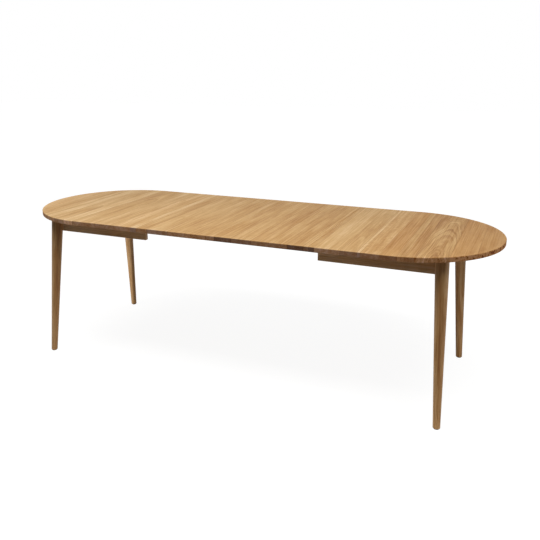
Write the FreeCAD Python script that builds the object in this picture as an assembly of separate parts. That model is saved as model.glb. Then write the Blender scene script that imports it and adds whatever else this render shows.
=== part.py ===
import FreeCAD
import Part
import math
import os

Vector = FreeCAD.Vector

# Extension table in millimetres, drawn apart with both leaves in.
# Origin: floor level under the middle of the table. X runs along the table, Z is up,
# and the front of the table is on the -Y side.

# Top
TABLE_HEIGHT = 740.0
TOP_WIDTH = 850.0
TOP_THICKNESS = 22.0
END_TOP_LENGTH = 744.0
LEAF_WIDTH = 436.0
SEAM_GAP = 0.6
SEAM_BEVEL = 0.8
TOP_EDGE_ROUND = 3.0
UNDER_EDGE_ROUND = 1.5

# Legs, measured on their axis where it meets the underside of the top
LEG_TOP_DIAMETER = 57.4
LEG_FOOT_DIAMETER = 31.0
LEG_TIP_INSET = 221.0
LEG_SIDE_INSET = 122.5
LEG_SPLAY_LENGTHWISE = 45.0
LEG_SPLAY_SIDEWAYS = 75.5
LEG_FOOT_ROUND = 2.0

# Foot glides
GLIDE_DIAMETER = 24.0
GLIDE_THICKNESS = 3.0
GLIDE_PIN_DIAMETER = 4.0
GLIDE_PIN_LENGTH = 14.0

# Aprons
APRON_HEIGHT = 72.6
APRON_THICKNESS = 20.0
APRON_LEG_SETBACK = 9.0
APRON_SEAM_SETBACK = 0.5
APRON_EDGE_ROUND = 2.0

# Corner blocks and leg bolts
BLOCK_LENGTH = 40.0
BLOCK_END = 6.0
BLOCK_NIP = 5.0
BLOCK_HEIGHT = 42.0
BLOCK_SCREW_SEAT = 8.0
BLOCK_SCREW_BITE = 14.0
BLOCK_SCREW_DIAMETER = 4.0
BLOCK_SCREW_HEAD = 8.0
LEG_BOLT_DIAMETER = 8.0
LEG_BOLT_HEAD_DIAMETER = 13.0
LEG_BOLT_HEAD_HEIGHT = 8.0
LEG_BOLT_SOCKET = 6.0
LEG_BOLT_SOCKET_DEPTH = 4.0
LEG_BOLT_PAST_AXIS = 10.0
WASHER_DIAMETER = 18.0
WASHER_THICKNESS = 1.6
INSERT_DIAMETER = 12.0
INSERT_LENGTH = 17.0

# Cross rail at the open side of each end frame
CROSS_RAIL_THICKNESS = 20.0
CROSS_RAIL_OFFSET = 62.0
CROSS_RAIL_LIFT = 5.0
CROSS_RAIL_HOUSING = 6.0
CROSS_RAIL_NOTCH_GAP = 1.5

# Clips that hold an end top to its aprons
CLIP_PLATE = 2.0
CLIP_WIDTH = 22.0
CLIP_DROP = 10.0
CLIP_TONGUE = 7.0
CLIP_FLANGE = 20.0
CLIP_GROOVE_DEPTH = 8.0
CLIP_GROOVE_STOP = 30.0
CLIP_SCREW_DIAMETER = 4.0
CLIP_SCREW_HEAD = 7.6
CLIP_SCREW_BITE = 14.0

# Slides: a rail under each end top and a middle rail between them, front and back
SLIDE_APRON_SPACE = 122.5
RAIL_WIDTH = 24.0
RAIL_HEIGHT = 42.0
RAIL_LENGTH = 700.0
RAIL_SIDE_GAP = 0.5
MIDDLE_RAIL_LENGTH = 700.0
MIDDLE_RAIL_DROP = 0.4
RAIL_END_ROUND = 4.0
RAIL_COUNTERBORE = 16.0
RAIL_SCREW_BITE = 14.0
RAIL_SCREW_DIAMETER = 4.5
RAIL_SCREW_HEAD = 8.6
OVERTRAVEL = 60.0
STOP_GAP = 1.0

# Dovetail keys let into the end rails
KEY_TENON = 5.0
KEY_NECK = 10.0
KEY_HEAD = 17.0
KEY_DEPTH = 7.0
KEY_CLEARANCE = 0.4

# Stop plates on the ends of the middle rails
STOP_PLATE_THICKNESS = 2.0
STOP_PLATE_HEIGHT = 34.0
STOP_PLATE_INSET = 0.6
STOP_SCREW_DIAMETER = 2.4
STOP_SCREW_HEAD = 4.4
STOP_SCREW_LENGTH = 14.0
STOP_SCREW_SPREAD = 27.0

# Tie board under the middle rails
TIE_WIDTH = 90.0
TIE_THICKNESS = 14.0
TIE_SCREW_DIAMETER = 4.0
TIE_SCREW_HEAD = 8.0
TIE_SCREW_BITE = 11.0

# Leaves and their battens
LEAF_SEAT_GAP = 0.2
BATTEN_WIDTH = 30.0
BATTEN_HEIGHT = 20.0
BATTEN_INSET = 40.0
BATTEN_GAP = 0.6
BATTEN_EDGE_ROUND = 2.0
BATTEN_SCREW_DIAMETER = 4.0
BATTEN_SCREW_HEAD = 8.0
BATTEN_SCREW_BITE = 14.0

# Steel rests under the edge of a leaf
REST_THICKNESS = 3.0
REST_WIDTH = 26.0
REST_REACH = 28.0
REST_HOLD = 42.0
REST_APRON_GAP = 6.5
REST_LANE_STEP = 34.0
REST_SCREW_DIAMETER = 4.0
REST_SCREW_HEAD = 7.6
REST_SCREW_BITE = 14.0

# Fits, and how close two levels are when they count as one
WOOD_FIT = 0.2
SCREW_SLACK = 0.15
OVERRUN = 5.0
SAME_PLACE = 0.02

# Places along a piece, as shares of its length
SIDE_CLIP_SHARES = (0.27, 0.66)
END_CLIP_SHARES = (-0.42, 0.42)
RAIL_SCREW_SHARES = (0.08, 0.36, 0.64, 0.92)
BATTEN_SCREW_SHARES = (0.1, 0.5, 0.9)
TIE_SCREW_SHARES = (-0.28, 0.28)
REST_SCREW_SHARES = (0.32, 0.76)
BLOCK_SCREW_LENGTH_SHARE = 0.72
BLOCK_SCREW_HEIGHT_SHARES = (-0.28, 0.28)

# Cross recess of a screw, as shares of its head
RECESS_REACH_SHARE = 0.28
RECESS_WIDTH_SHARE = 0.13
RECESS_DEPTH_SHARE = 0.2

# Levels and lines that several pieces share
underside = TABLE_HEIGHT - TOP_THICKNESS
half_width = TOP_WIDTH / 2
tip_x = LEAF_WIDTH + END_TOP_LENGTH
seam_x = LEAF_WIDTH + SEAM_GAP / 2
apron_bottom = underside - APRON_HEIGHT
apron_middle = underside - APRON_HEIGHT / 2
leg_top_x = tip_x - LEG_TIP_INSET
leg_top_y = half_width - LEG_SIDE_INSET
leg_foot_x = leg_top_x + LEG_SPLAY_LENGTHWISE
leg_foot_y = leg_top_y + LEG_SPLAY_SIDEWAYS
splay_share = (underside - apron_middle) / underside
corner_x = leg_top_x + LEG_SPLAY_LENGTHWISE * splay_share
corner_y = leg_top_y + LEG_SPLAY_SIDEWAYS * splay_share
apron_inner = APRON_LEG_SETBACK + APRON_THICKNESS
apron_end_x = seam_x + APRON_SEAM_SETBACK
groove_floor = underside - CLIP_DROP - CLIP_PLATE - WOOD_FIT
groove_roof = underside - CLIP_DROP + WOOD_FIT
leaf_underside = underside + LEAF_SEAT_GAP

apron_face_y = corner_y - apron_inner
slide_centre = apron_face_y - SLIDE_APRON_SPACE
rail_bottom = underside - RAIL_HEIGHT
rail_middle = underside - RAIL_HEIGHT / 2
rail_pitch = RAIL_WIDTH + RAIL_SIDE_GAP
rail_pack = rail_pitch + RAIL_WIDTH / 2
rail_inner_x = LEAF_WIDTH - RAIL_LENGTH / 2
rail_outer_x = rail_inner_x + RAIL_LENGTH
middle_rail_end = MIDDLE_RAIL_LENGTH / 2
middle_rail_bottom = rail_bottom - MIDDLE_RAIL_DROP
key_outer_x = middle_rail_end - OVERTRAVEL - STOP_GAP

UP = Vector(0, 0, 1)


def span_box(x, y, z):
    low = Vector(min(x), min(y), min(z))
    high = Vector(max(x), max(y), max(z))
    size = high - low
    return Part.makeBox(size.x, size.y, size.z, low)


def prism(points, sweep):
    return Part.Face(Part.makePolygon(points + points[:1])).extrude(sweep)


def upright(outline, bottom, top):
    points = [Vector(x, y, bottom) for x, y in outline]
    return prism(points, Vector(0, 0, top - bottom))


def along_x(section, start, end):
    points = [Vector(start, y, z) for y, z in section]
    return prism(points, Vector(end - start, 0, 0))


def spun(profile, base, direction):
    points = [Vector(radius, 0, reach) for radius, reach in profile]
    face = Part.Face(Part.makePolygon(points + points[:1]))
    solid = face.revolve(Vector(), UP, 360)
    solid.Placement = FreeCAD.Placement(base, FreeCAD.Rotation(UP, direction))
    return solid


def cleaned(shape):
    shape = shape.removeSplitter()
    if len(shape.Solids) == 1:
        return shape.Solids[0]
    return shape


def mirrored(shape):
    return shape.mirror(Vector(), Vector(0, 1, 0))


def turned_round(shape):
    turned = shape.copy()
    turned.rotate(Vector(), UP, 180)
    return turned


def rounded(shape, radius, chosen):
    edges = [edge for edge in shape.Edges if chosen(edge.BoundBox)]
    return shape.makeFillet(radius, edges)


def near(first, second):
    return abs(first - second) < SAME_PLACE


# Countersunk wood screws

def screw_profile(size, slack, entry):
    length, diameter, head = size
    shank = diameter / 2 + slack
    rim = head / 2 + slack
    sink = (head - diameter) / 2
    return [(0, -entry), (rim, -entry), (rim, 0), (shank, sink),
            (shank, length - diameter), (0, length + slack)]


def screw(base, direction, size):
    profile = screw_profile(size, 0, 0)
    body = spun(profile[:1] + profile[2:], base, direction)
    return body.cut(cross_recess(base, direction, size[-1]))


def cross_recess(base, direction, head):
    reach = head * RECESS_REACH_SHARE
    half = head * RECESS_WIDTH_SHARE / 2
    floor = head * RECESS_DEPTH_SHARE
    slots = [span_box((-reach, reach), (-half, half), (0, floor)),
             span_box((-half, half), (-reach, reach), (0, floor))]
    for slot in slots:
        slot.Placement = FreeCAD.Placement(base, FreeCAD.Rotation(UP, direction)) * slot.Placement
    return slots


def screw_hole(base, direction, size, entry):
    return spun(screw_profile(size, SCREW_SLACK, entry), base, direction)


def screw_group(places, size):
    return Part.makeCompound([screw(base, direction, size) for base, direction in places])


def drilled(piece, places, size, entry=OVERRUN):
    holes = [screw_hole(base, direction, size, entry) for base, direction in places]
    return cleaned(piece.cut(holes))


# The right end stands at +X. Its corner with the front leg has its own plan measures:
# inward along the table's length first, then inward across its width.

def corner_point(along, across, level):
    return Vector(corner_x - along, across - corner_y, level)


def corner_prism(outline, bottom, top):
    points = [corner_point(along, across, bottom) for along, across in outline]
    return prism(points, Vector(0, 0, top - bottom))


def end_top():
    bend_x = tip_x - half_width
    front_seam = Vector(seam_x, -half_width, underside)
    front_bend = Vector(bend_x, -half_width, underside)
    tip = Vector(tip_x, 0, underside)
    back_bend = Vector(bend_x, half_width, underside)
    back_seam = Vector(seam_x, half_width, underside)
    outline = Part.Wire([
        Part.makeLine(front_seam, front_bend),
        Part.Arc(front_bend, tip, back_bend).toShape(),
        Part.makeLine(back_bend, back_seam),
        Part.makeLine(back_seam, front_seam),
    ])
    panel = Part.Face(outline).extrude(Vector(0, 0, TOP_THICKNESS))
    panel = round_rim(panel, underside)
    panel = panel.cut(seam_bevel(seam_x, 1))
    panel = drilled(panel, clip_screw_places(), clip_screw_size)
    panel = drilled(panel, rail_screw_places(), rail_screw_size)
    return drilled(panel, rest_screw_places(), rest_screw_size)


def round_rim(panel, floor):
    panel = rounded(panel, TOP_EDGE_ROUND,
                    lambda box: near(box.ZMin, TABLE_HEIGHT) and box.XLength > SEAM_GAP)
    return rounded(panel, UNDER_EDGE_ROUND,
                   lambda box: near(box.ZMax, floor) and box.XLength > SEAM_GAP)


def seam_bevel(seam, inward):
    outside = seam - inward * OVERRUN
    section = [
        Vector(outside, -half_width - OVERRUN, TABLE_HEIGHT - SEAM_BEVEL - OVERRUN),
        Vector(seam + inward * (SEAM_BEVEL + OVERRUN), -half_width - OVERRUN, TABLE_HEIGHT + OVERRUN),
        Vector(outside, -half_width - OVERRUN, TABLE_HEIGHT + OVERRUN),
    ]
    return prism(section, Vector(0, TOP_WIDTH + OVERRUN + OVERRUN, 0))


# Legs and glides

def front_leg():
    foot = Vector(leg_foot_x, -leg_foot_y, 0)
    axis = Vector(leg_top_x, -leg_top_y, underside) - foot
    length = axis.Length
    direction = axis / length
    foot_radius = LEG_FOOT_DIAMETER / 2
    taper = (LEG_TOP_DIAMETER / 2 - foot_radius) / length
    spare = LEG_FOOT_DIAMETER
    cone = Part.makeCone(foot_radius - taper * spare, foot_radius + taper * (length + spare),
                         length + spare + spare, foot - direction * spare, direction)
    reach = LEG_TOP_DIAMETER + LEG_SPLAY_LENGTHWISE + LEG_SPLAY_SIDEWAYS
    leg = cone.common(span_box((leg_top_x - reach, leg_top_x + reach),
                               (-leg_top_y - reach, reach - leg_top_y),
                               (GLIDE_THICKNESS, underside)))
    leg = rounded(leg, LEG_FOOT_ROUND, lambda box: near(box.ZMax, GLIDE_THICKNESS))
    notch = APRON_LEG_SETBACK - WOOD_FIT
    outline = [(notch, notch), (reach, notch), (reach, reach), (notch, reach)]
    leg = leg.cut(corner_prism(outline, apron_bottom - WOOD_FIT, underside + OVERRUN))
    pin_hole = spun(glide_profile(SCREW_SLACK), Vector(leg_foot_x, -leg_foot_y, 0), UP)
    return cleaned(leg.cut([pin_hole, insert_bore()]))


def glide_profile(slack):
    pin = GLIDE_PIN_DIAMETER / 2 + slack
    top = GLIDE_THICKNESS + GLIDE_PIN_LENGTH + slack
    disc = GLIDE_DIAMETER / 2
    return [(0, 0), (disc, 0), (disc, GLIDE_THICKNESS), (pin, GLIDE_THICKNESS), (pin, top), (0, top)]


def front_glide():
    return spun(glide_profile(0), Vector(leg_foot_x, -leg_foot_y, 0), UP)


# Aprons with the groove that takes the clips

def side_apron():
    length = corner_x - apron_end_x
    outline = [(APRON_LEG_SETBACK, APRON_LEG_SETBACK), (apron_inner, apron_inner),
               (length, apron_inner), (length, APRON_LEG_SETBACK)]
    apron = corner_prism(outline, apron_bottom, underside)
    apron = rounded(apron, APRON_EDGE_ROUND, seam_end_or_lower_edge)
    groove_start = apron_inner + CLIP_GROOVE_STOP
    groove_end = length - CLIP_GROOVE_STOP
    groove_depth = apron_inner - CLIP_GROOVE_DEPTH
    groove = [(groove_start, groove_depth), (groove_start, apron_inner + OVERRUN),
              (groove_end, apron_inner + OVERRUN), (groove_end, groove_depth)]
    apron = apron.cut([corner_prism(groove, groove_floor, groove_roof), cross_rail_blank(WOOD_FIT),
                       bolt_bore()])
    return drilled(apron, block_screw_places(), block_screw_size)


def seam_end_or_lower_edge(box):
    at_seam = near(box.XMax, apron_end_x) and not near(box.ZMin, underside)
    below = near(box.ZMax, apron_bottom) and near(box.YLength, 0)
    return at_seam or below


def end_apron():
    outer_x = corner_x - APRON_LEG_SETBACK
    inner_x = corner_x - apron_inner
    outer_y = corner_y - APRON_LEG_SETBACK
    inner_y = apron_face_y
    outline = [(outer_x, -outer_y), (outer_x, outer_y), (inner_x, inner_y), (inner_x, -inner_y)]
    apron = upright(outline, apron_bottom, underside)
    apron = rounded(apron, APRON_EDGE_ROUND,
                    lambda box: near(box.ZMax, apron_bottom) and near(box.XLength, 0))
    groove_y = inner_y - CLIP_GROOVE_STOP
    groove = span_box((inner_x - OVERRUN, inner_x + CLIP_GROOVE_DEPTH), (-groove_y, groove_y),
                      (groove_floor, groove_roof))
    apron = apron.cut([groove, bolt_bore(), mirrored(bolt_bore())])
    screws = block_screw_places()
    screws += [mirrored_place(place) for place in screws]
    return drilled(apron, screws, block_screw_size)


# Corner blocks, leg bolts, washers and inserts

def corner_block():
    near_end = apron_inner + BLOCK_NIP
    far_end = apron_inner + BLOCK_LENGTH
    blunt = apron_inner + BLOCK_END
    outline = [(near_end, apron_inner), (far_end, apron_inner), (far_end, blunt),
               (blunt, far_end), (apron_inner, far_end), (apron_inner, near_end)]
    bottom = apron_middle - BLOCK_HEIGHT / 2
    block = corner_prism(outline, bottom, bottom + BLOCK_HEIGHT)
    block = drilled(block, block_screw_places(), block_screw_size, BLOCK_LENGTH)
    return cleaned(block.cut(bolt_bore()))


block_face = (apron_inner + BLOCK_LENGTH + apron_inner + BLOCK_END) / math.sqrt(2)
to_leg = Vector(1, -1, 0).normalize()
leg_bolt_length = block_face + WASHER_THICKNESS + LEG_BOLT_PAST_AXIS
block_screw_size = (BLOCK_SCREW_SEAT + BLOCK_SCREW_BITE, BLOCK_SCREW_DIAMETER, BLOCK_SCREW_HEAD)


def bolt_point(distance):
    return corner_point(0, 0, apron_middle) - to_leg * distance


def bolt_bore():
    radius = LEG_BOLT_DIAMETER / 2 + SCREW_SLACK
    return spun([(0, 0), (radius, 0), (radius, leg_bolt_length), (0, leg_bolt_length)],
                bolt_point(block_face + WASHER_THICKNESS), to_leg)


def leg_bolt():
    head = LEG_BOLT_HEAD_DIAMETER / 2
    shank = LEG_BOLT_DIAMETER / 2
    length = LEG_BOLT_HEAD_HEIGHT + leg_bolt_length
    profile = [(0, 0), (head, 0), (head, LEG_BOLT_HEAD_HEIGHT), (shank, LEG_BOLT_HEAD_HEIGHT),
               (shank, length), (0, length)]
    start = bolt_point(block_face + WASHER_THICKNESS + LEG_BOLT_HEAD_HEIGHT)
    bolt = spun(profile, start, to_leg)
    socket_radius = LEG_BOLT_SOCKET / math.sqrt(3)
    turns = [math.tau * step / 6 for step in range(6)]
    socket = prism([Vector(socket_radius * math.cos(turn), socket_radius * math.sin(turn), 0)
                    for turn in turns], Vector(0, 0, LEG_BOLT_SOCKET_DEPTH))
    socket.Placement = FreeCAD.Placement(start, FreeCAD.Rotation(UP, to_leg))
    return cleaned(bolt.cut(socket))


def ring(outer, inner, length, start):
    return spun([(inner / 2, 0), (outer / 2, 0), (outer / 2, length), (inner / 2, length)],
                start, to_leg)


def leg_washer():
    return ring(WASHER_DIAMETER, LEG_BOLT_DIAMETER + SCREW_SLACK + SCREW_SLACK, WASHER_THICKNESS,
                bolt_point(block_face + WASHER_THICKNESS))


insert_start = APRON_LEG_SETBACK


def leg_insert():
    return ring(INSERT_DIAMETER, LEG_BOLT_DIAMETER + SCREW_SLACK + SCREW_SLACK, INSERT_LENGTH,
                bolt_point(insert_start))


def insert_bore():
    wide = INSERT_DIAMETER / 2 + SCREW_SLACK
    narrow = LEG_BOLT_DIAMETER / 2 + SCREW_SLACK
    length = max(INSERT_LENGTH + SCREW_SLACK, insert_start + LEG_BOLT_PAST_AXIS + SCREW_SLACK)
    bore = spun([(0, 0), (wide, 0), (wide, INSERT_LENGTH + SCREW_SLACK),
                 (0, INSERT_LENGTH + SCREW_SLACK)], bolt_point(insert_start), to_leg)
    tail = spun([(0, -APRON_THICKNESS), (narrow, -APRON_THICKNESS), (narrow, length), (0, length)],
                bolt_point(insert_start), to_leg)
    return bore.fuse(tail)


def block_screw_places():
    places = []
    along = apron_inner + BLOCK_LENGTH * BLOCK_SCREW_LENGTH_SHARE
    seat = apron_inner + BLOCK_SCREW_SEAT
    for share in BLOCK_SCREW_HEIGHT_SHARES:
        level = apron_middle + BLOCK_HEIGHT * share
        places.append((corner_point(along, seat, level), Vector(0, -1, 0)))
        places.append((corner_point(seat, along, level), Vector(1, 0, 0)))
    return places


def mirrored_place(place):
    base, direction = place
    return Vector(base.x, -base.y, base.z), Vector(direction.x, -direction.y, direction.z)


# Cross rail, notched over the slides

def cross_rail_blank(fit):
    start = LEAF_WIDTH + CROSS_RAIL_OFFSET
    reach = apron_face_y + CROSS_RAIL_HOUSING + fit
    return span_box((start - fit, start + CROSS_RAIL_THICKNESS + fit), (-reach, reach),
                    (apron_bottom + CROSS_RAIL_LIFT - fit, underside))


def cross_rail():
    start = LEAF_WIDTH + CROSS_RAIL_OFFSET
    ends = (start - OVERRUN, start + CROSS_RAIL_THICKNESS + OVERRUN)
    levels = (rail_bottom - CROSS_RAIL_NOTCH_GAP, underside + OVERRUN)
    half_notch = rail_pack + CROSS_RAIL_NOTCH_GAP
    rail = cross_rail_blank(0)
    for centre in (-slide_centre, slide_centre):
        rail = rail.cut(span_box(ends, (centre - half_notch, centre + half_notch), levels))
    return rail


# Clips from the apron grooves to the end top

clip_screw_size = (CLIP_PLATE + CLIP_SCREW_BITE, CLIP_SCREW_DIAMETER, CLIP_SCREW_HEAD)


def clip_places():
    places = []
    length = corner_x - apron_end_x
    for share in SIDE_CLIP_SHARES:
        x = apron_end_x + length * share
        places.append((Vector(x, -apron_face_y, 0), Vector(0, 1, 0)))
        places.append((Vector(x, apron_face_y, 0), Vector(0, -1, 0)))
    for share in END_CLIP_SHARES:
        places.append((Vector(corner_x - apron_inner, apron_face_y * share, 0), Vector(-1, 0, 0)))
    return places


def clip(face, inward):
    sideways = UP.cross(inward)
    back = WOOD_FIT + CLIP_PLATE
    tip = WOOD_FIT + CLIP_FLANGE
    tongue_floor = underside - CLIP_DROP - CLIP_PLATE
    section = [(-CLIP_TONGUE, tongue_floor), (back, tongue_floor), (back, underside - CLIP_PLATE),
               (tip, underside - CLIP_PLATE), (tip, underside), (WOOD_FIT, underside),
               (WOOD_FIT, tongue_floor + CLIP_PLATE), (-CLIP_TONGUE, tongue_floor + CLIP_PLATE)]
    start = face - sideways * (CLIP_WIDTH / 2)
    points = [start + inward * reach + UP * level for reach, level in section]
    return prism(points, sideways * CLIP_WIDTH)


def clip_screw_places():
    reach = WOOD_FIT + (CLIP_PLATE + CLIP_FLANGE) / 2
    return [(face + inward * reach + UP * (underside - CLIP_PLATE), UP)
            for face, inward in clip_places()]


def clips():
    plates = [clip(face, inward) for face, inward in clip_places()]
    places = clip_screw_places()
    return Part.makeCompound([drilled(plate, [place], clip_screw_size)
                              for plate, place in zip(plates, places)])


# Slides. On the right end the front rail lies outside the middle rail and the back rail
# inside it, so that both ends are the same piece turned round.

rail_screw_size = (RAIL_HEIGHT - RAIL_COUNTERBORE + RAIL_SCREW_BITE, RAIL_SCREW_DIAMETER,
                   RAIL_SCREW_HEAD)
front_rail_y = -slide_centre - rail_pitch
back_rail_y = slide_centre - rail_pitch


def end_rail(centre):
    rail = span_box((rail_inner_x, rail_outer_x), (centre - RAIL_WIDTH / 2, centre + RAIL_WIDTH / 2),
                    (rail_bottom, underside))
    rail = rounded(rail, RAIL_END_ROUND,
                   lambda box: near(box.ZMax, rail_bottom) and near(box.XLength, 0))
    tenon = key_section(centre + RAIL_WIDTH / 2)
    rail = rail.cut(along_x(tenon, rail_inner_x - OVERRUN, key_outer_x))
    places = [place for place in rail_screw_places() if near(place[0].y, centre)]
    return drilled(rail, places, rail_screw_size, RAIL_COUNTERBORE + OVERRUN)


def key_section(face):
    neck = KEY_NECK / 2
    head = KEY_HEAD / 2
    mouth = face + RAIL_SIDE_GAP
    return [(face - KEY_TENON, rail_middle - neck), (mouth, rail_middle - neck),
            (mouth + KEY_DEPTH, rail_middle - head), (mouth + KEY_DEPTH, rail_middle + head),
            (mouth, rail_middle + neck), (face - KEY_TENON, rail_middle + neck)]


def slide_key(centre):
    return along_x(key_section(centre + RAIL_WIDTH / 2), rail_inner_x, key_outer_x)


def rail_screw_places():
    held = rail_outer_x - LEAF_WIDTH
    places = []
    for centre in (front_rail_y, back_rail_y):
        for share in RAIL_SCREW_SHARES:
            x = LEAF_WIDTH + held * share
            places.append((Vector(x, centre, rail_bottom + RAIL_COUNTERBORE), UP))
    return places


def middle_rail(centre):
    top = underside - MIDDLE_RAIL_DROP
    rail = span_box((-middle_rail_end, middle_rail_end),
                    (centre - RAIL_WIDTH / 2, centre + RAIL_WIDTH / 2), (middle_rail_bottom, top))
    for side in (-1, 1):
        rail = rail.cut(along_x(groove_section(centre + side * RAIL_WIDTH / 2, side),
                                -middle_rail_end - OVERRUN, middle_rail_end + OVERRUN))
    places = [place for place in tie_screw_places() if place[0].y * centre > 0]
    rail = drilled(rail, places, tie_screw_size)
    places = stop_screw_places(centre)
    places += [turned_place(place) for place in stop_screw_places(-centre)]
    return drilled(rail, places, stop_screw_size)


def groove_section(face, side):
    neck = KEY_NECK / 2 + KEY_CLEARANCE
    head = KEY_HEAD / 2 + KEY_CLEARANCE
    floor = face - side * (KEY_DEPTH + KEY_CLEARANCE)
    mouth = face + side * OVERRUN
    return [(mouth, rail_middle - neck), (face, rail_middle - neck), (floor, rail_middle - head),
            (floor, rail_middle + head), (face, rail_middle + neck), (mouth, rail_middle + neck)]


# Stop plates at the right end of a middle rail, over the groove that faces the front

stop_screw_size = (STOP_SCREW_LENGTH, STOP_SCREW_DIAMETER, STOP_SCREW_HEAD)


def stop_screw_places(centre):
    y = centre - RAIL_WIDTH / 4
    x = middle_rail_end + STOP_PLATE_THICKNESS
    levels = (rail_middle - STOP_SCREW_SPREAD / 2, rail_middle + STOP_SCREW_SPREAD / 2)
    return [(Vector(x, y, level), Vector(-1, 0, 0)) for level in levels]


def stop_plate(centre):
    front = centre - RAIL_WIDTH / 2 + STOP_PLATE_INSET
    plate = span_box((middle_rail_end, middle_rail_end + STOP_PLATE_THICKNESS),
                     (front, centre - STOP_PLATE_INSET),
                     (rail_middle - STOP_PLATE_HEIGHT / 2, rail_middle + STOP_PLATE_HEIGHT / 2))
    return drilled(plate, stop_screw_places(centre), stop_screw_size)


def turned_place(place):
    base, direction = place
    return Vector(-base.x, -base.y, base.z), Vector(-direction.x, -direction.y, direction.z)


# Tie board

tie_screw_size = (TIE_THICKNESS + TIE_SCREW_BITE, TIE_SCREW_DIAMETER, TIE_SCREW_HEAD)


def tie_screw_places():
    level = middle_rail_bottom - TIE_THICKNESS
    return [(Vector(TIE_WIDTH * share, centre, level), UP)
            for centre in (-slide_centre, slide_centre) for share in TIE_SCREW_SHARES]


def tie_board():
    reach = slide_centre + RAIL_WIDTH / 2
    board = span_box((-TIE_WIDTH / 2, TIE_WIDTH / 2), (-reach, reach),
                     (middle_rail_bottom - TIE_THICKNESS, middle_rail_bottom))
    return drilled(board, tie_screw_places(), tie_screw_size)


# Leaves with their battens

batten_screw_size = (BATTEN_HEIGHT + BATTEN_SCREW_BITE, BATTEN_SCREW_DIAMETER, BATTEN_SCREW_HEAD)
batten_start = BATTEN_INSET
batten_end = LEAF_WIDTH - BATTEN_INSET


def batten_sides():
    front = front_rail_y - RAIL_WIDTH / 2 - BATTEN_GAP
    back = slide_centre + RAIL_WIDTH / 2 + BATTEN_GAP
    return [(front - BATTEN_WIDTH, front), (back, back + BATTEN_WIDTH)]


def batten_screw_places(sides):
    x_places = [batten_start + (batten_end - batten_start) * share for share in BATTEN_SCREW_SHARES]
    return [(Vector(x, sum(sides) / 2, leaf_underside - BATTEN_HEIGHT), UP) for x in x_places]


def batten(sides):
    bottom = leaf_underside - BATTEN_HEIGHT
    bar = span_box((batten_start, batten_end), sides, (bottom, leaf_underside))
    bar = rounded(bar, BATTEN_EDGE_ROUND, lambda box: near(box.ZMax, bottom))
    return drilled(bar, batten_screw_places(sides), batten_screw_size)


def leaf():
    start = SEAM_GAP / 2
    end = LEAF_WIDTH - SEAM_GAP / 2
    panel = span_box((start, end), (-half_width, half_width), (leaf_underside, TABLE_HEIGHT))
    panel = round_rim(panel, leaf_underside)
    panel = panel.cut([seam_bevel(start, 1), seam_bevel(end, -1)])
    for sides in batten_sides():
        panel = drilled(panel, batten_screw_places(sides), batten_screw_size)
    return panel


# Steel rests under the outer edge of a leaf, in two lanes so that the ends can close

rest_screw_size = (REST_THICKNESS + REST_SCREW_BITE, REST_SCREW_DIAMETER, REST_SCREW_HEAD)
outer_lane = apron_face_y - REST_APRON_GAP - REST_WIDTH / 2
rest_lanes = (REST_LANE_STEP - outer_lane, outer_lane)


def rest_screw_places(lanes=rest_lanes):
    return [(Vector(LEAF_WIDTH + REST_HOLD * share, lane, underside - REST_THICKNESS), UP)
            for lane in lanes for share in REST_SCREW_SHARES]


def rest(lane):
    plate = span_box((LEAF_WIDTH - REST_REACH, LEAF_WIDTH + REST_HOLD),
                     (lane - REST_WIDTH / 2, lane + REST_WIDTH / 2),
                     (underside - REST_THICKNESS, underside))
    return drilled(plate, rest_screw_places([lane]), rest_screw_size)


# Assembly. A piece of the right end is named for its side; turned round it serves the left end.

def both_sides(shape):
    return Part.makeCompound([shape, mirrored(shape)])


def front_and_back(name, shape):
    return {"front_" + name: shape, "back_" + name: mirrored(shape)}


def end_pieces():
    pieces = {
        "end_top": end_top(),
        "end_apron": end_apron(),
        "cross_rail": cross_rail(),
        "leg_bolts": both_sides(leg_bolt()),
        "leg_washers": both_sides(leg_washer()),
        "leg_inserts": both_sides(leg_insert()),
        "block_screws": both_sides(screw_group(block_screw_places(), block_screw_size)),
        "top_clips": clips(),
        "clip_screws": screw_group(clip_screw_places(), clip_screw_size),
        "front_rail": end_rail(front_rail_y),
        "back_rail": end_rail(back_rail_y),
        "slide_keys": Part.makeCompound([slide_key(front_rail_y), slide_key(back_rail_y)]),
        "rail_screws": screw_group(rail_screw_places(), rail_screw_size),
        "leaf_rests": Part.makeCompound([rest(lane) for lane in rest_lanes]),
        "rest_screws": screw_group(rest_screw_places(), rest_screw_size),
        "leaf": leaf(),
        "leaf_battens": Part.makeCompound([batten(sides) for sides in batten_sides()]),
        "batten_screws": Part.makeCompound([screw_group(batten_screw_places(sides), batten_screw_size)
                                            for sides in batten_sides()]),
    }
    pieces.update(front_and_back("leg", front_leg()))
    pieces.update(front_and_back("glide", front_glide()))
    pieces.update(front_and_back("apron", side_apron()))
    pieces.update(front_and_back("corner_block", corner_block()))
    return pieces


def middle_pieces():
    centres = (-slide_centre, slide_centre)
    plates = [stop_plate(centre) for centre in centres]
    screws = [screw_group(stop_screw_places(centre), stop_screw_size) for centre in centres]
    return {
        "front_middle_rail": middle_rail(-slide_centre),
        "back_middle_rail": middle_rail(slide_centre),
        "tie_board": tie_board(),
        "tie_screws": screw_group(tie_screw_places(), tie_screw_size),
        "stop_plates": Part.makeCompound(plates + [turned_round(plate) for plate in plates]),
        "stop_screws": Part.makeCompound(screws + [turned_round(group) for group in screws]),
    }


def swapped(name):
    if name.startswith("front_"):
        return name.replace("front_", "back_", 1)
    return name.replace("back_", "front_", 1)


os.makedirs("parts", exist_ok=True)
for name, shape in end_pieces().items():
    shape.exportStep("parts/right_" + name + ".step")
    turned_round(shape).exportStep("parts/left_" + swapped(name) + ".step")
for name, shape in middle_pieces().items():
    shape.exportStep("parts/" + name + ".step")
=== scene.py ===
import math

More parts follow.
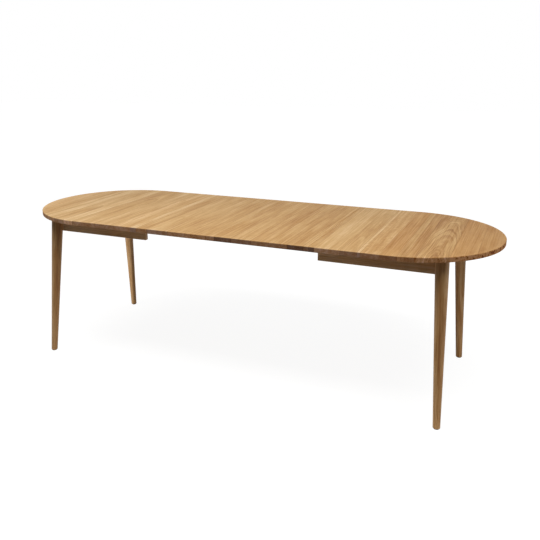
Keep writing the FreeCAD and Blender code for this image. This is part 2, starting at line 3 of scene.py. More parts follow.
import bpy
from mathutils import Matrix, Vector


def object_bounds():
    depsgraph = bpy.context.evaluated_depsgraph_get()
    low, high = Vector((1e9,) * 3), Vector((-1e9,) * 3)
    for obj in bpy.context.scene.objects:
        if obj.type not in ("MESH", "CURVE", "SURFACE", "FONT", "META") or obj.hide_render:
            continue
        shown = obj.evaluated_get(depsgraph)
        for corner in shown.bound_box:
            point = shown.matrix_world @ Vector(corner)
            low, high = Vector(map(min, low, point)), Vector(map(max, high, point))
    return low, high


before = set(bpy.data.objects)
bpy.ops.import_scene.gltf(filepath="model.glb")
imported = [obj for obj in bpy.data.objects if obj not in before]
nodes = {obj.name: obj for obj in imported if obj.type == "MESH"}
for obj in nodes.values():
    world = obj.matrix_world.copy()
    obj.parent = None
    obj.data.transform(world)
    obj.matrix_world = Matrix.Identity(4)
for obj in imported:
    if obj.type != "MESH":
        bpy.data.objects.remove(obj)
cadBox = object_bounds()     # the CAD box, before anything is added
sides = ("left", "right")
corners = [side + "_" + row for side in sides for row in ("front", "back")]
toMm = 1000              # the frame is in metres, the materials think in mm
print("frame: loaded", len(nodes), "nodes")


def linear(hexColour):   # sRGB hex to the linear values Blender works in
    parts = [int(hexColour[i:i + 2], 16) / 255 for i in (1, 3, 5)]
    return [c / 12.92 if c <= 0.04045 else ((c + 0.055) / 1.055) ** 2.4 for c in parts] + [1]


def addNode(tree, kind, settings, links):   # a link comes from a socket, a node or a number
    node = tree.nodes.new("ShaderNode" + kind)
    for name, value in settings.items():
        if name in node.bl_rna.properties.keys():
            setattr(node, name, value)
        else:
            node.inputs[name].default_value = value
    for name, source in links.items():
        if isinstance(source, (int, float)):
            node.inputs[name].default_value = source
        else:
            tree.links.new(source.outputs[0] if hasattr(source, "outputs") else source, node.inputs[name])
    return node


def setStops(ramp, stops, interpolation="LINEAR"):   # stops are (position, rgba)
    band = ramp.color_ramp
    band.interpolation = interpolation
    while len(band.elements) < len(stops):
        band.elements.new(1)
    for element, (position, colour) in zip(band.elements, stops):
        element.position = position
        element.color = colour


def evenStops(colours):   # hex colours spread evenly over a ramp
    return [(i / (len(colours) - 1), linear(c)) for i, c in enumerate(colours)]


def newMaterial(name):
    material = bpy.data.materials.new(name)
    material.use_nodes = True
    tree = material.node_tree
    return material, tree, tree.nodes["Principled BSDF"]


def spotInMm(tree):   # where on the table
    spot = addNode(tree, "TexCoord", {}, {}).outputs["Object"]
    return addNode(tree, "VectorMath", {"operation": "SCALE", "Scale": toMm}, {0: spot})


def dress(material, names):   # puts a material in every slot of some CAD nodes
    for name in names:
        mesh = nodes[name].data
        if not mesh.materials:
            mesh.materials.append(material)
        for i in range(len(mesh.materials)):
            mesh.materials[i] = material


# Solid oak, sawn, planed and oiled: growth rings round a pith that leans along the board, so a face shows
# arches or straight lines, the end grain shows arcs, and both belong together.
# A pattern is its size in mm across, along and into the board, then the detail and roughness of its noise.
# For bands and lines, across is out from the pith.
oakGrain = {
    "swing": ((150, 343, 150), 3, 0.5),     # how often the rings swing
    "band": ((26, 1500, 26), 2, 0.55),      # runs of fast and slow years
    "line": ((8, 900, 8), 4, 0.62),         # single years, really 2 to 3 mm: drawn coarser, to show
    "fibre": ((4.5, 260, 4.5), 3, 0.6),     # drawn coarse for the same reason
    "cloud": ((60, 230, 60), 2, 0.5),       # soft lighter and darker patches
    "swingDepth": 64.0,      # mm, from one end of a swing to the other
    "poreSpacing": (2.2, 52, 2.2),          # mm, drawn coarse too
    "poreReach": (0.16, 0.34),              # in spacings, where a pore ends and plain wood starts
}
oakFinish = {
    "ringTone": 1.28,        # how far a pattern shifts the tone from its darkest to its palest
    "fibreTone": 0.9,
    "cloudTone": 0.55,
    "poreTone": -0.1,
    "ruddy": "#EDD4AA",      # washes that multiply the wood: heartwood,
    "sawn": "#FFEEFF",       # a sawn edge, a shade redder,
    "endGrain": "#343468",   # end grain, which drinks more oil,
    "glue": "#D8C6AC",       # and the line between two staves
    "roughness": (0.67, 0.37),              # hollow and raised fibre
    "sawnRoughness": 0.3,    # added on a sawn edge
    "relief": 0.25,
    "reliefDepth": 0.00012,  # m
    "ior": 1.48,
}


def oakNoise(tree, pattern, spot, seed):
    size, detail, roughness = oakGrain[pattern]
    at = addNode(tree, "VectorMath", {"operation": "DIVIDE", 1: size}, {0: spot})
    settings = {"noise_dimensions": "4D", "Scale": 1, "Detail": detail, "Roughness": roughness}
    return addNode(tree, "TexNoise", settings, {"Vector": at, "W": seed}).outputs["Fac"]


def growOak(tree, across, along, into, pithAcross, pithInto, lean, seed):
    # places in mm; gives rings, fibre, pores and clouds as sockets from 0 to 1
    spot = addNode(tree, "CombineXYZ", {}, {0: across, 1: along, 2: into})
    sideways = addNode(tree, "Math", {"operation": "SUBTRACT"}, {0: across, 1: pithAcross})
    inwards = addNode(tree, "Math", {"operation": "SUBTRACT"}, {0: into, 1: pithInto})
    inwards = addNode(tree, "Math", {"operation": "MULTIPLY_ADD"}, {0: along, 1: lean, 2: inwards})
    fromPith = addNode(tree, "CombineXYZ", {}, {0: sideways, 2: inwards})
    radius = addNode(tree, "VectorMath", {"operation": "LENGTH"}, {0: fromPith}).outputs["Value"]
    reach = oakGrain["swingDepth"] / 2
    swing = addNode(tree, "MapRange", {"To Min": -reach, "To Max": reach, "clamp": False},
                    {"Value": oakNoise(tree, "swing", spot, seed)})
    radius = addNode(tree, "Math", {"operation": "ADD"}, {0: radius, 1: swing})

    ringSpot = addNode(tree, "CombineXYZ", {}, {0: radius, 1: along})
    band = oakNoise(tree, "band", ringSpot, seed)
    line = oakNoise(tree, "line", ringSpot, seed)
    rings = addNode(tree, "Mix", {"data_type": "FLOAT", "Factor": 0.5}, {2: band, 3: line})   # half of each

    poreAt = addNode(tree, "VectorMath", {"operation": "DIVIDE", 1: oakGrain["poreSpacing"]}, {0: spot})
    pore = addNode(tree, "TexVoronoi", {"feature": "F1", "Scale": 1, "Randomness": 1}, {"Vector": poreAt})
    inner, outer = oakGrain["poreReach"]
    pore = addNode(tree, "MapRange", {"From Min": inner, "From Max": outer, "To Min": 1, "To Max": 0},
                   {"Value": pore.outputs["Distance"]})
    fibre = oakNoise(tree, "fibre", spot, seed)
    cloud = oakNoise(tree, "cloud", spot, seed)
    return rings.outputs[0], fibre, pore.outputs[0], cloud


def finishOak(tree, shader, look, grain, tone, warmth, strength, sawn=0, endShade=0, seamLine=0):
    # turns the grain into colour, gloss and a little relief
    rings, fibre, pore, cloud = grain
    shade = addNode(tree, "Math", {"operation": "MULTIPLY_ADD", 1: oakFinish["poreTone"]}, {0: pore, 2: tone})
    patterns = (rings, "ringTone", strength), (fibre, "fibreTone", 1), (cloud, "cloudTone", 1)
    for pattern, share, boost in patterns:
        reach = oakFinish[share] / 2
        shift = addNode(tree, "MapRange", {"To Min": -reach, "To Max": reach, "clamp": False},
                        {"Value": pattern})
        shade = addNode(tree, "Math", {"operation": "MULTIPLY_ADD"}, {0: shift, 1: boost, 2: shade})
    wood = addNode(tree, "ValToRGB", {}, {0: shade})
    setStops(wood, evenStops(look["colours"]))
    colour = wood.outputs[0]
    for wash, amount in (("ruddy", warmth), ("sawn", sawn), ("endGrain", endShade), ("glue", seamLine)):
        settings = {"data_type": "RGBA", "blend_type": "MULTIPLY", 7: linear(oakFinish[wash])}
        colour = addNode(tree, "Mix", settings, {0: amount, 6: colour}).outputs[2]
    tree.links.new(colour, shader.inputs["Base Color"])

    hollow, raised = oakFinish["roughness"]
    gloss = addNode(tree, "MapRange", {"To Min": hollow, "To Max": raised, "clamp": False}, {"Value": fibre})
    gloss = addNode(tree, "Math", {"operation": "MULTIPLY_ADD", 1: oakFinish["sawnRoughness"]},
                    {0: sawn, 2: gloss})
    tree.links.new(gloss.outputs[0], shader.inputs["Roughness"])
    height = addNode(tree, "Math", {"operation": "SUBTRACT"}, {0: fibre, 1: pore})
    bump = addNode(tree, "Bump", {"Strength": oakFinish["relief"], "Distance": oakFinish["reliefDepth"]},
                   {"Height": height})
    tree.links.new(bump.outputs[0], shader.inputs["Normal"])
    shader.inputs["IOR"].default_value = oakFinish["ior"]
    shader.inputs["Specular IOR Level"].default_value = look["shine"]


# Top: oak staves glued side by side, running across the table. Each row is one stave: right edge in x mm,
# tone (0 dark to 1 pale), warmth (0 straw to 1 ruddy), pith beside the stave's middle mm, pith below the
# top mm, lean of the pith in mm per mm, strength of the figure, pale ray flecks (0 to 1), how much darker
# the end grain is, how mottled the edge is (0 to 1). The edge mottle leans pale, so it is partly painted
# light: towards the right tip the edge is painted lighter, as if lit from the right.
staveValues = ("edge", "tone", "warmth", "beside", "below", "lean", "strength", "flecks", "endShade",
               "mottleAndPaintedLight")
topStaves = {
    "left_end_top": [
        (-1078, 0.90, 0.52, 70, 60, 0.02, 1.2, 0.2, 0.90, 0.1),
        (-1000, 0.57, 0.21, -30, 90, 0.03, 1.2, 0.2, 0.00, 0.1),
        (-900, 0.72, 0.00, 85, 40, 0.01, 1.2, 0.2, 0.00, 0.1),
        (-825, 0.66, 0.00, 20, 35, 0.05, 1.2, 0.2, 0.30, 0.1),
        (-768, 0.83, 0.00, -95, 30, 0.01, 1.2, 0.2, 0.02, 0.1),
        (-633, 0.59, 0.00, 15, 60, 0.06, 1.2, 0.2, 0.34, 0.1),
        (-526, 0.61, 0.00, 80, 50, 0.02, 1.2, 0.2, 0.40, 0.1),
        (-400, 0.70, 0.20, -70, 60, 0.02, 1.2, 0.2, 0.37, 0.1),
    ],
    "left_leaf": [
        (-403, 0.85, 0.00, 60, 40, 0.02, 0.6, 0.2, 0.57, 0.1),
        (-345, 0.51, 0.00, -40, 40, 0.03, 0.6, 0.2, 0.29, 0.1),
        (-236, 0.61, 0.00, -25, 40, 0.05, 0.6, 0.2, 0.49, 0.1),
        (-145, 0.55, 0.00, 85, 50, 0.02, 0.6, 0.2, 0.33, 0.1),
        (-41, 0.51, 0.00, -80, 60, 0.01, 0.6, 0.2, 0.28, 0.1),
        (40, 0.54, 0.00, 30, 50, 0.03, 0.6, 0.2, 0.40, 0.1),
    ],
    "right_leaf": [
        (84, 0.52, 0.00, 75, 40, 0.02, 0.3, 0.2, 0.69, 0.1),
        (177, 0.53, 0.00, -20, 45, 0.05, 0.3, 0.2, 0.59, 0.1),
        (259, 0.47, 0.05, -85, 60, 0.01, 0.3, 0.2, 0.43, 0.1),
        (345, 0.50, 0.00, 70, 40, 0.02, 0.3, 0.2, 0.46, 0.1),
        (415, 0.48, 0.00, 15, 60, 0.05, 0.3, 0.2, 0.74, 0.1),
        (480, 0.62, 0.00, 60, 50, 0.02, 0.3, 0.2, 0.64, 0.1),
    ],
    "right_end_top": [
        (462, 0.51, 0.00, 60, 30, 0.01, 0.4, 0.2, 0.75, 0.1),
        (571, 0.65, 0.00, -80, 50, 0.02, 0.4, 0.2, 0.37, 0.1),
        (642, 0.53, 0.00, 5, 40, 0.08, 0.8, 0.2, 0.49, 0.1),
        (655, 0.76, 0.00, 50, 40, 0.02, 0.4, 0.7, 0.55, 0.1),
        (731, 0.62, 0.30, 70, 60, 0.02, 0.7, 0.6, 0.46, 0.1),
        (801, 0.56, 0.52, -75, 50, 0.02, 0.4, 0.2, 0.50, 0.1),
        (828, 0.46, 0.01, -75, 50, 0.02, 0.4, 0.2, 0.20, 0.1),
        (866, 0.42, 0.24, 60, 60, 0.01, 0.4, 0.2, 0.30, 0.1),
        (992, 0.43, 0.06, 8, 46, 0.09, 2.3, 0.2, 0.00, 0.2),
        (1087, 0.56, 0.54, 85, 60, 0.02, 0.4, 0.2, 0.00, 0.6),
        (1250, 0.44, 0.50, -60, 40, 0.03, 0.4, 0.2, 0.00, 1.0),
    ],
}
topLook = {
    "firstWidth": 100.0,     # mm, for the first stave of a panel, whose left edge is the rim or a seam
    "glueLine": 0.7,         # mm each side, a real one is 0.1: drawn wider, to show
    "seedSteps": (37, 19, 90),              # stride, cycle and reach: no two staves of a panel are alike
    "fleckSize": (16, 4.5, 4.5),            # mm, rays cut along show as short pale flecks, drawn coarse
    "fleckFrom": (0.55, 0.72),              # where in the noise a fleck starts and is full
    "fleckTone": 0.5,
    "endGrainFrom": (0.35, 0.95),           # how far the surface faces along the stave
    "edgeFrom": (0.3, 0.8),  # how far it faces up, from sawn edge to planed face
    "mottleSize": 14.0,      # mm, light and dark patches on the edge
    "mottleFrom": (0.36, 0.64),
    # the mottle's range leans pale: painted light, the edge is painted lighter where the mottle is strong,
    # most at the right tip
    "edgePatchAndPaintedLightTone": (-0.675, 1.425),
    "mottleWarmth": 0.45,
    "wearWidth": 26.0,       # mm, rubbed paler towards the rim
    "wearTone": 0.08,
    "shine": 0.15,           # the worn top is duller than the legs
    "colours": ["#835528", "#A6753C", "#C0945A", "#D3AC75", "#E5C596"],
}


def perStave(tree, place, values):   # a stepped ramp that gives each stave its own value
    low, span = min(values), max(values) - min(values)
    if span == 0:
        return low
    ramp = addNode(tree, "ValToRGB", {}, {0: place})
    greys = [[(value - low) / span] * 3 + [1] for value in values]
    setStops(ramp, [(i / len(greys), grey) for i, grey in enumerate(greys)], "CONSTANT")
    return addNode(tree, "MapRange", {"To Min": low, "To Max": low + span}, {"Value": ramp})


def readStaves(tree, x, staves):   # the values of the stave at x, and how near a glue line is
    columns = dict(zip(staveValues, zip(*staves)))
    edges = columns.pop("edge")
    count = seamLine = 0
    for edge in edges[:-1]:
        past = addNode(tree, "Math", {"operation": "GREATER_THAN", 1: edge}, {0: x})
        near = addNode(tree, "Math", {"operation": "COMPARE", 1: edge, 2: topLook["glueLine"]}, {0: x})
        count = addNode(tree, "Math", {"operation": "ADD"}, {0: past, 1: count})
        seamLine = addNode(tree, "Math", {"operation": "ADD"}, {0: near, 1: seamLine})
    place = addNode(tree, "MapRange", {"From Min": -0.5, "From Max": len(staves) - 0.5}, {"Value": count})
    starts = (edges[0] - topLook["firstWidth"],) + edges[:-1]
    middles = [(start + edge) / 2 for start, edge in zip(starts, edges)]
    surface = cadBox[1][2] * toMm
    columns["pithAcross"] = [middle + beside for middle, beside in zip(middles, columns.pop("beside"))]
    columns["pithHeight"] = [surface - below for below in columns.pop("below")]
    stride, cycle, reach = topLook["seedSteps"]
    columns["seed"] = [i * stride % cycle / cycle * reach for i in range(len(staves))]
    return {name: perStave(tree, place, values) for name, values in columns.items()}, seamLine


def rimWear(tree, x, y):   # paler towards the rim, round the straight sides and the half-round ends
    radius = cadBox[1][1] * toMm
    straight = cadBox[1][0] * toMm - radius
    past = addNode(tree, "Math", {"operation": "ABSOLUTE"}, {0: x})
    past = addNode(tree, "Math", {"operation": "SUBTRACT", 1: straight}, {0: past})
    past = addNode(tree, "Math", {"operation": "MAXIMUM", 1: 0}, {0: past})
    outwards = addNode(tree, "CombineXYZ", {}, {0: past, 1: y})
    outwards = addNode(tree, "VectorMath", {"operation": "LENGTH"}, {0: outwards}).outputs["Value"]
    inner = radius - topLook["wearWidth"]
    return addNode(tree, "MapRange", {"interpolation_type": "SMOOTHSTEP", "From Min": inner,
                   "From Max": radius, "To Min": 0, "To Max": topLook["wearTone"]}, {"Value": outwards})


def oiledOakStaves(name, staves):
    material, tree, shader = newMaterial("oiledOak_" + name)
    look = topLook
    spot = spotInMm(tree)
    x, y, z = addNode(tree, "SeparateXYZ", {}, {0: spot}).outputs
    stave, seamLine = readStaves(tree, x, staves)
    grain = growOak(tree, x, y, z, stave["pithAcross"], stave["pithHeight"], stave["lean"], stave["seed"])

    fleckAt = addNode(tree, "VectorMath", {"operation": "DIVIDE", 1: look["fleckSize"]}, {0: spot})
    fleck = addNode(tree, "TexNoise", {"Scale": 1, "Detail": 1}, {"Vector": fleckAt})
    start, full = look["fleckFrom"]
    fleck = addNode(tree, "MapRange", {"From Min": start, "From Max": full, "To Min": 0,
                    "To Max": look["fleckTone"]}, {"Value": fleck.outputs["Fac"]})

    facing = addNode(tree, "NewGeometry", {}, {}).outputs["Normal"]
    facing = addNode(tree, "VectorMath", {"operation": "ABSOLUTE"}, {0: facing})
    facing = addNode(tree, "SeparateXYZ", {}, {0: facing})
    start, full = look["endGrainFrom"]
    endGrain = addNode(tree, "MapRange", {"interpolation_type": "SMOOTHSTEP", "From Min": start,
                       "From Max": full}, {"Value": facing.outputs[1]})
    endShade = addNode(tree, "Math", {"operation": "MULTIPLY"}, {0: endGrain, 1: stave["endShade"]})
    start, full = look["edgeFrom"]
    sawn = addNode(tree, "MapRange", {"From Min": start, "From Max": full, "To Min": 1, "To Max": 0},
                   {"Value": facing.outputs[2]})

    mottleAndPaintedLight = addNode(tree, "TexNoise", {"Scale": 1 / look["mottleSize"], "Detail": 2, "Roughness": 0.6},
                     {"Vector": spot})
    start, full = look["mottleFrom"]
    dark, pale = look["edgePatchAndPaintedLightTone"]
    mottleAndPaintedLight = addNode(tree, "MapRange", {"From Min": start, "From Max": full, "To Min": dark, "To Max": pale,
                     "clamp": False}, {"Value": mottleAndPaintedLight.outputs["Fac"]})
    # the sawn edge that takes the mottle: partly real mottle, partly painted light from the right
    patchyAndPaintedLitEdge = addNode(tree, "Math", {"operation": "MULTIPLY"}, {0: sawn, 1: stave["mottleAndPaintedLight"]})

    warmth = addNode(tree, "Math", {"operation": "MULTIPLY_ADD", 1: look["mottleWarmth"]},
                     {0: patchyAndPaintedLitEdge, 2: stave["warmth"]})
    tone = addNode(tree, "Math", {"operation": "ADD"}, {0: rimWear(tree, x, y), 1: stave["tone"]})
    tone = addNode(tree, "Math", {"operation": "MULTIPLY_ADD"}, {0: fleck, 1: stave["flecks"], 2: tone})
    # painted light: the mottled edge is made paler on the whole, most towards the right tip, as if lit from
    # the right
    tone = addNode(tree, "Math", {"operation": "MULTIPLY_ADD"}, {0: mottleAndPaintedLight, 1: patchyAndPaintedLitEdge, 2: tone})
    finishOak(tree, shader, look, grain, tone, warmth, stave["strength"], sawn, endShade, seamLine)
    return material


for panel, staves in topStaves.items():
    dress(oiledOakStaves(panel, staves), [panel])
print("top: oak staves on", len(topStaves), "panels")

# Legs: oak turned to a taper, grain along the leg, so long arches run down the faces
legLook = {
    "topAt": (959.0, 302.5, 718.0),    # mm, leg axis at the underside of the top
    "footAt": (1004.0, 378.0, 0.0),
    "pithBeside": (34.0, -22.0),       # mm from the leg axis
    "lean": 0.012,
    "seedStep": 2.9,                   # no two legs are alike
    "tone": 0.43,
    "toneShift": (0.03, -0.05),        # right legs against left, and how that changes towards the back
    "warmth": 0.2,
    "warmthShift": 0.15,               # right legs against left
    "strength": 1.6,
    "shine": 0.25,
    "colours": ["#825937", "#A5794A", "#BF9768", "#D2AE84", "#E4C8A9"],
}


def turnedOak():
    material, tree, shader = newMaterial("turnedOak")
    look = legLook
    x, y, z = addNode(tree, "SeparateXYZ", {}, {0: spotInMm(tree)}).outputs
    top, foot = look["topAt"], look["footAt"]
    fromAxis = []
    for i, place in enumerate((x, y)):   # how far out from the splayed axis, alike in all four corners
        splay = (foot[i] - top[i]) / (top[2] - foot[2])
        out = addNode(tree, "Math", {"operation": "ABSOLUTE"}, {0: place})
        out = addNode(tree, "Math", {"operation": "SUBTRACT", 1: foot[i]}, {0: out})
        fromAxis.append(addNode(tree, "Math", {"operation": "MULTIPLY_ADD", 1: splay}, {0: z, 2: out}))
    side = addNode(tree, "Math", {"operation": "SIGN"}, {0: x})
    row = addNode(tree, "Math", {"operation": "SIGN"}, {0: y})
    seed = addNode(tree, "Math", {"operation": "MULTIPLY_ADD", 1: look["seedStep"]}, {0: side, 2: row})
    bySide, byRow = look["toneShift"]
    tone = addNode(tree, "Math", {"operation": "MULTIPLY_ADD", 1: byRow, 2: bySide}, {0: row})
    tone = addNode(tree, "Math", {"operation": "MULTIPLY_ADD", 2: look["tone"]}, {0: side, 1: tone})
    warmth = addNode(tree, "Math", {"operation": "MULTIPLY_ADD", 1: look["warmthShift"], 2: look["warmth"]},
                     {0: side})
    beside, into = look["pithBeside"]
    pithAcross = addNode(tree, "Math", {"operation": "MULTIPLY", 1: beside}, {0: row})
    grain = growOak(tree, fromAxis[0], z, fromAxis[1], pithAcross, into, look["lean"], seed)
    finishOak(tree, shader, look, grain, tone, warmth, look["strength"])
    return material


# Aprons: oak boards planed flat, straight grain along their length
apronLook = {
    "pithBeside": -70.0,     # mm, across from the table's middle line
    "pithHeight": 640.0,     # mm
    "lean": 0.02,
    "seedStep": 5.3,
    # painted light: set paler than the legs' oak, standing in for light that reaches the aprons under the
    # top's overhang
    "tone": 0.84,
    "warmth": 0.5,
    "strength": 1.0,
    "shine": 0.25,
    "colours": ["#82562F", "#A57645", "#BF9665", "#D2AE84", "#E4C8A9"],
}


def planedOak(name, alongY):
    material, tree, shader = newMaterial("planedOak_" + name)
    look = apronLook
    x, y, z = addNode(tree, "SeparateXYZ", {}, {0: spotInMm(tree)}).outputs
    along, across = (y, x) if alongY else (x, y)
    side = addNode(tree, "Math", {"operation": "SIGN"}, {0: x})
    row = addNode(tree, "Math", {"operation": "SIGN"}, {0: across})
    seed = addNode(tree, "Math", {"operation": "MULTIPLY_ADD", 1: look["seedStep"]}, {0: side, 2: row})
    grain = growOak(tree, across, along, z, look["pithBeside"], look["pithHeight"], look["lean"], seed)
    finishOak(tree, shader, look, grain, look["tone"], look["warmth"], look["strength"])
    return material


dress(turnedOak(), [corner + "_leg" for corner in corners])
dress(planedOak("sides", False), [corner + "_apron" for corner in corners])
dress(planedOak("ends", True), [side + "_end_apron" for side in sides])
print("legs and aprons: oak")

# Slides and hidden rails: beech, planed and waxed. Close pale pink-brown wood with short dark flecks.
beechLook = {
    "colours": ["#B5875C", "#C99E72", "#D9B28A"],
    "fibreSize": (5.0, 220.0),              # mm across and along
    "fibreFrom": (0.3, 0.7),                # where in the noise the wood is darkest and palest
    "fleckSpacing": (3.5, 17.5),            # mm, real ones are closer and finer: drawn coarser, to show
    "fleckReach": (0.15, 0.3),              # in spacings, where a fleck ends and plain wood starts
    "fleckTone": 0.2,
    "roughness": (0.52, 0.4),
    "relief": 0.2,
    "reliefDepth": 0.0001,   # m
    "ior": 1.48,
}


def waxedBeech(name, alongY):
    material, tree, shader = newMaterial("waxedBeech_" + name)
    look = beechLook
    spot = spotInMm(tree)
    patternAt = []
    for wide, long in (look["fibreSize"], look["fleckSpacing"]):
        size = (wide, long, wide) if alongY else (long, wide, wide)
        patternAt.append(addNode(tree, "VectorMath", {"operation": "DIVIDE", 1: size}, {0: spot}))
    fibre = addNode(tree, "TexNoise", {"Scale": 1, "Detail": 4, "Roughness": 0.6}, {"Vector": patternAt[0]})
    fibre = fibre.outputs["Fac"]
    fleck = addNode(tree, "TexVoronoi", {"Scale": 1}, {"Vector": patternAt[1]})
    inner, outer = look["fleckReach"]
    fleck = addNode(tree, "MapRange", {"From Min": inner, "From Max": outer, "To Min": look["fleckTone"],
                    "To Max": 0}, {"Value": fleck.outputs["Distance"]})
    dark, pale = look["fibreFrom"]
    shade = addNode(tree, "MapRange", {"From Min": dark, "From Max": pale}, {"Value": fibre})
    shade = addNode(tree, "Math", {"operation": "SUBTRACT"}, {0: shade, 1: fleck})
    wood = addNode(tree, "ValToRGB", {}, {0: shade})
    setStops(wood, evenStops(look["colours"]))
    tree.links.new(wood.outputs[0], shader.inputs["Base Color"])
    hollow, raised = look["roughness"]
    gloss = addNode(tree, "MapRange", {"To Min": hollow, "To Max": raised}, {"Value": fibre})
    tree.links.new(gloss.outputs[0], shader.inputs["Roughness"])
    bump = addNode(tree, "Bump", {"Strength": look["relief"], "Distance": look["reliefDepth"]},
                   {"Height": fibre})
    tree.links.new(bump.outputs[0], shader.inputs["Normal"])
    shader.inputs["IOR"].default_value = look["ior"]
    return material


lengthwise = ["front_middle_rail", "back_middle_rail"] + [corner + "_rail" for corner in corners]
lengthwise += [side + part for side in sides for part in ("_slide_keys", "_leaf_battens")]
crosswise = ["tie_board"] + [side + "_cross_rail" for side in sides]
crosswise += [corner + "_corner_block" for corner in corners]
dress(waxedBeech("lengthwise", False), lengthwise)
dress(waxedBeech("crosswise", True), crosswise)
print("slides: beech")

# Screws, bolts, clips, rests and stops: pressed and rolled steel, zinc plated. Silver-grey with a faint
# cool cloudiness and a soft gloss.
zincLook = {
    "colours": ["#9FA3A4", "#C2C5C4"],
    "colourFrom": (0.3, 0.7),               # where in the noise each colour is full
    "cloudSize": 6.0,        # mm
    "roughness": (0.3, 0.46),
}


def zincPlatedSteel():
    material, tree, shader = newMaterial("zincPlatedSteel")
    look = zincLook
    cloud = addNode(tree, "TexNoise", {"Scale": 1 / look["cloudSize"], "Detail": 4, "Roughness": 0.6},
                    {"Vector": spotInMm(tree)}).outputs["Fac"]
    tint = addNode(tree, "ValToRGB", {}, {0: cloud})
    setStops(tint, [(start, linear(c)) for start, c in zip(look["colourFrom"], look["colours"])])
    tree.links.new(tint.outputs[0], shader.inputs["Base Color"])
    bright, dull = look["roughness"]
    gloss = addNode(tree, "MapRange", {"To Min": bright, "To Max": dull}, {"Value": cloud})
    tree.links.new(gloss.outputs[0], shader.inputs["Roughness"])
    shader.inputs["Metallic"].default_value = 1
    return material


steelParts = ("_leg_bolts", "_leg_washers", "_leg_inserts", "_block_screws", "_top_clips", "_clip_screws",
              "_rail_screws", "_leaf_rests", "_rest_screws", "_batten_screws")
steel = [side + part for side in sides for part in steelParts] + ["tie_screws", "stop_plates", "stop_screws"]
dress(zincPlatedSteel(), steel)
print("hardware: zinc plated steel")

# Foot glides: nylon, moulded. Dark brown, dull, with a fine moulded grain.
glideLook = {
    "colours": ["#2E241C", "#42352A"],
    "colourFrom": (0.3, 0.7),               # where in the noise each colour is full
    "grainSize": 1.2,        # mm
    "roughness": (0.42, 0.58),
    "relief": 0.3,
    "reliefDepth": 0.00008,  # m
    "ior": 1.53,
}


def mouldedNylon():
    material, tree, shader = newMaterial("mouldedNylon")
    look = glideLook
    grain = addNode(tree, "TexNoise", {"Scale": 1 / look["grainSize"], "Detail": 2},
                    {"Vector": spotInMm(tree)}).outputs["Fac"]
    tint = addNode(tree, "ValToRGB", {}, {0: grain})
    setStops(tint, [(start, linear(c)) for start, c in zip(look["colourFrom"], look["colours"])])
    tree.links.new(tint.outputs[0], shader.inputs["Base Color"])
    smooth, rough = look["roughness"]
    gloss = addNode(tree, "MapRange", {"To Min": smooth, "To Max": rough}, {"Value": grain})
    tree.links.new(gloss.outputs[0], shader.inputs["Roughness"])
    bump = addNode(tree, "Bump", {"Strength": look["relief"], "Distance": look["reliefDepth"]},
                   {"Height": grain})
    tree.links.new(bump.outputs[0], shader.inputs["Normal"])
    shader.inputs["IOR"].default_value = look["ior"]
    return material


dress(mouldedNylon(), [corner + "_glide" for corner in corners])
print("glides: nylon")

# Studio: pale floor that keeps the shadow, soft lamps
studio = {
    "floorSize": 40.0,       # m
    "floorGlow": (0.925, 1.0),    # what the camera sees near the table and far from it
    "fadeFrom": (0.7, 1.6),       # m from the middle, over which the floor fades to white
    "floorLit": "#6A6A6A",        # the part of the seen floor that the lamps light, so the shadow shows
    "bounce": (0.9, 0.1),         # the floor as the table sees it: white paper, and the darker room round it
    "paperSize": (1.5, 0.85, 1),  # m, half length and half width of the paper
    "paperEdge": (0.8, 1.15),     # where the paper thins out and ends, in parts of that
    "ambient": 0.03,
    "lamps": [               # name, place, aimed at, width, depth, watts, spread in degrees
        ("overhead", (0, 0, 3.1), (0, 0, 0), 5.2, 2.8, 20, 180),
        ("frontHigh", (0, -1.2, 3.0), (0, -0.3, 0.3), 5.0, 0.7, 79, 180),
        ("leftSoft", (-1.53, -0.72, 0.24), (-1.0, 0.36, 0.26), 0.35, 0.5, 0.93, 50),   # three below the top,
        ("rightSoft", (2.2, -0.8, 0.3), (1.0, 0.08, 0.1), 0.4, 0.3, 0.62, 50),         # for the legs
        ("rightEdge", (2.3, 0.2, 0.6), (1.0, -0.25, 0.54), 0.3, 0.3, 0.25, 40),        # and the rim
        ("backSoft", (0, 2.6, 0.36), (0, 0.36, 0.36), 3.2, 0.6, 8, 180),
    ],
}


def seenRays(tree):   # 1 where the eye sees the background, straight or in a gloss
    path = addNode(tree, "LightPath", {}, {}).outputs
    seen = path["Is Camera Ray"]
    for kind in ("Is Glossy Ray", "Is Transmission Ray"):
        seen = addNode(tree, "Math", {"operation": "MAXIMUM"}, {0: seen, 1: path[kind]})
    return seen


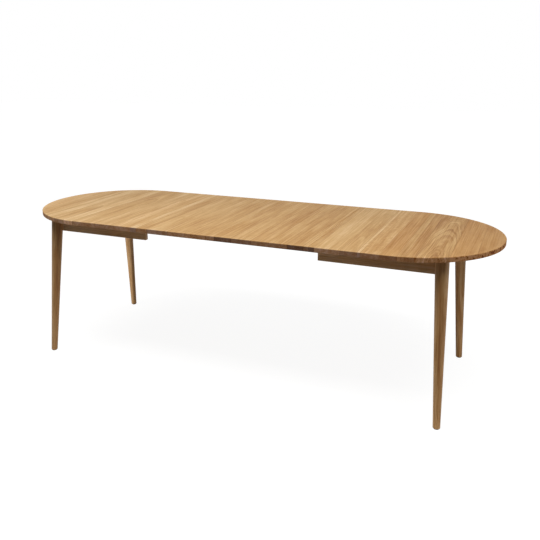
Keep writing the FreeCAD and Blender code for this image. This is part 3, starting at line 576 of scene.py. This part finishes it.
def studioPaper():
    material, tree, shader = newMaterial("studioPaper")
    tree.nodes.remove(shader)
    spot = addNode(tree, "TexCoord", {}, {}).outputs["Object"]
    paperAt = addNode(tree, "VectorMath", {"operation": "DIVIDE", 1: studio["paperSize"]}, {0: spot})
    paperAt = addNode(tree, "VectorMath", {"operation": "LENGTH"}, {0: paperAt}).outputs["Value"]
    near, far = studio["paperEdge"]
    white, room = studio["bounce"]
    bounce = addNode(tree, "MapRange", {"interpolation_type": "SMOOTHSTEP", "From Min": near, "From Max": far,
                     "To Min": white, "To Max": room}, {"Value": paperAt})
    paper = addNode(tree, "BsdfDiffuse", {}, {"Color": bounce})
    reach = addNode(tree, "VectorMath", {"operation": "LENGTH"}, {0: spot}).outputs["Value"]
    near, far = studio["fadeFrom"]
    inner, outer = studio["floorGlow"]
    fade = addNode(tree, "MapRange", {"interpolation_type": "SMOOTHSTEP", "From Min": near, "From Max": far,
                   "To Min": inner, "To Max": outer}, {"Value": reach})
    glow = addNode(tree, "Emission", {"Color": (1, 1, 1, 1)}, {"Strength": fade})
    lit = addNode(tree, "BsdfDiffuse", {"Color": linear(studio["floorLit"])}, {})
    both = addNode(tree, "AddShader", {}, {0: lit, 1: glow})
    mixed = addNode(tree, "MixShader", {}, {0: seenRays(tree), 1: paper, 2: both})
    below = addNode(tree, "NewGeometry", {}, {}).outputs["Backfacing"]
    clear = addNode(tree, "BsdfTransparent", {}, {})   # clear from below, to show the underside
    mixed = addNode(tree, "MixShader", {}, {0: below, 1: mixed, 2: clear})
    tree.links.new(mixed.outputs[0], tree.nodes["Material Output"].inputs["Surface"])
    return material


def buildStudio():
    half = studio["floorSize"] / 2
    mesh = bpy.data.meshes.new("studioFloor")
    square = [(-half, -half, 0), (half, -half, 0), (half, half, 0), (-half, half, 0)]
    mesh.from_pydata(square, [], [(0, 1, 2, 3)])
    mesh.materials.append(studioPaper())
    floor = bpy.data.objects.new("studioFloor", mesh)
    bpy.context.scene.collection.objects.link(floor)

    world = bpy.data.worlds.new("studioAir")
    bpy.context.scene.world = world
    world.use_nodes = True
    tree = world.node_tree
    level = addNode(tree, "MapRange", {"To Min": studio["ambient"], "To Max": 1}, {"Value": seenRays(tree)})
    tree.links.new(level.outputs[0], tree.nodes["Background"].inputs["Strength"])
    tree.nodes["Background"].inputs["Color"].default_value = (1, 1, 1, 1)

    for name, place, target, width, depth, watts, spread in studio["lamps"]:
        lamp = bpy.data.lights.new(name, "AREA")
        lamp.shape = "RECTANGLE"
        lamp.size, lamp.size_y = width, depth
        lamp.energy = watts
        lamp.spread = math.radians(spread)
        holder = bpy.data.objects.new(name, lamp)
        bpy.context.scene.collection.objects.link(holder)
        holder.location = place
        holder.visible_camera = False
        aim = [t - p for t, p in zip(target, place)]
        flat = math.hypot(aim[0], aim[1])
        holder.rotation_euler = (math.atan2(flat, -aim[2]), 0, math.atan2(aim[1], aim[0]) - math.pi / 2)


camera = {
    "place": (1.2620, -2.8430, 1.4496),   # m
    "down": 0.3104,                       # rad below level
    "turn": 0.4118,                       # rad from +Y towards -X
    "roll": -0.0036,                      # rad
    "lens": 42.81,                        # mm
    "sensor": 36,                         # mm
    "shift": (0.0244, 0.0034),            # the photo's framing, in picture widths
}


def placeCamera():
    lens = bpy.data.cameras.new("photoCamera")
    lens.sensor_width = camera["sensor"]
    lens.lens = camera["lens"]
    lens.shift_x, lens.shift_y = camera["shift"]
    holder = bpy.data.objects.new("photoCamera", lens)
    holder.location = camera["place"]
    stance = Matrix.Rotation(camera["turn"], 3, "Z") @ Matrix.Rotation(math.pi / 2 - camera["down"], 3, "X")
    holder.rotation_euler = (stance @ Matrix.Rotation(camera["roll"], 3, "Z")).to_euler()
    bpy.context.scene.collection.objects.link(holder)
    bpy.context.scene.camera = holder


buildStudio()
placeCamera()
bpy.context.scene.view_settings.view_transform = "Standard"
print("studio: floor, lamps and camera")
